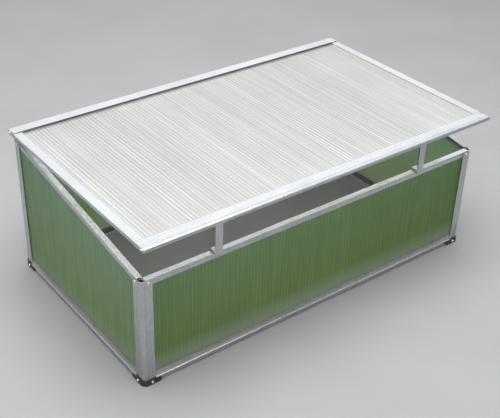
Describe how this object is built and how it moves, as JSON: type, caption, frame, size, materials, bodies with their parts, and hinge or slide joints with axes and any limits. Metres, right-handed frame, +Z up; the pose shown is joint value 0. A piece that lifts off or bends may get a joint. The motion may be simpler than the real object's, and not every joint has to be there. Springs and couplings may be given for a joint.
{
  "type": "cold frame",
  "caption": "Low rectangular cold frame with a sloping rim, twin-wall panels in aluminium rails, corner feet, and a flat lid hinged at the rear that rests on fold-down props.",
  "frame": {"origin": "on the ground, under the middle of the bounding box", "axes": "+X along the length, to the right as seen from the low front side; +Y to the high rear side where the lid is hinged; +Z up"},
  "size_m": [1.0198, 0.6064, 0.391],
  "materials": {
    "aluminium": "mill finish, satin",
    "twin_wall": "translucent twin-wall polycarbonate",
    "black_plastic": "moulded, satin",
    "steel": "zinc plated"
  },
  "bodies": {
    "base": {"front_left_post": "aluminium", "front_right_post": "aluminium", "rear_left_post": "aluminium", "rear_right_post": "aluminium", "front_top_rail": "aluminium", "rear_top_rail": "aluminium", "left_top_rail": "aluminium", "right_top_rail": "aluminium", "front_bottom_rail": "aluminium", "rear_bottom_rail": "aluminium", "left_bottom_rail": "aluminium", "right_bottom_rail": "aluminium", "front_panel": "twin_wall", "rear_panel": "twin_wall", "left_panel": "twin_wall", "right_panel": "twin_wall", "front_left_foot": "black_plastic", "front_right_foot": "black_plastic", "rear_left_foot": "black_plastic", "rear_right_foot": "black_plastic", "hinge_stop_left": "black_plastic", "hinge_stop_right": "black_plastic", "left_prop_clip": "aluminium", "right_prop_clip": "aluminium", "left_prop_pin": "steel", "right_prop_pin": "steel", "front_left_post_screw_end": "steel", "front_left_post_screw_side": "steel", "front_left_foot_screw_end": "steel", "front_left_foot_screw_side": "steel", "front_right_post_screw_end": "steel", "front_right_post_screw_side": "steel", "front_right_foot_screw_end": "steel", "front_right_foot_screw_side": "steel", "rear_left_post_screw_end": "steel", "rear_left_post_screw_side": "steel", "rear_left_foot_screw_end": "steel", "rear_left_foot_screw_side": "steel", "rear_right_post_screw_end": "steel", "rear_right_post_screw_side": "steel", "rear_right_foot_screw_end": "steel", "rear_right_foot_screw_side": "steel"},
    "lid": {"lid_front_rail": "aluminium", "lid_rear_rail": "aluminium", "lid_left_rail": "aluminium", "lid_right_rail": "aluminium", "lid_cap_front_left": "aluminium", "lid_cap_front_right": "aluminium", "lid_cap_rear_left": "aluminium", "lid_cap_rear_right": "aluminium", "lid_panel": "twin_wall", "lid_screw_front_left": "steel", "lid_screw_front_right": "steel", "lid_screw_rear_left": "steel", "lid_screw_rear_right": "steel"},
    "left_prop": {"left_prop": "aluminium"},
    "right_prop": {"right_prop": "aluminium"}
  },
  "joints": [
    {"name": "lid_hinge", "type": "hinge", "parent": "base", "child": "lid", "pos_m": [0, 0.293, 0.374], "axis": [-1, 0, 0], "range_deg": [0, 80]},
    {"name": "left_prop_hinge", "type": "hinge", "parent": "base", "child": "left_prop", "pos_m": [-0.305, -0.2738, 0.2822], "axis": [1, 0, 0], "range_deg": [0, 180]},
    {"name": "right_prop_hinge", "type": "hinge", "parent": "base", "child": "right_prop", "pos_m": [0.305, -0.2738, 0.2822], "axis": [1, 0, 0], "range_deg": [0, 180]}
  ]
}
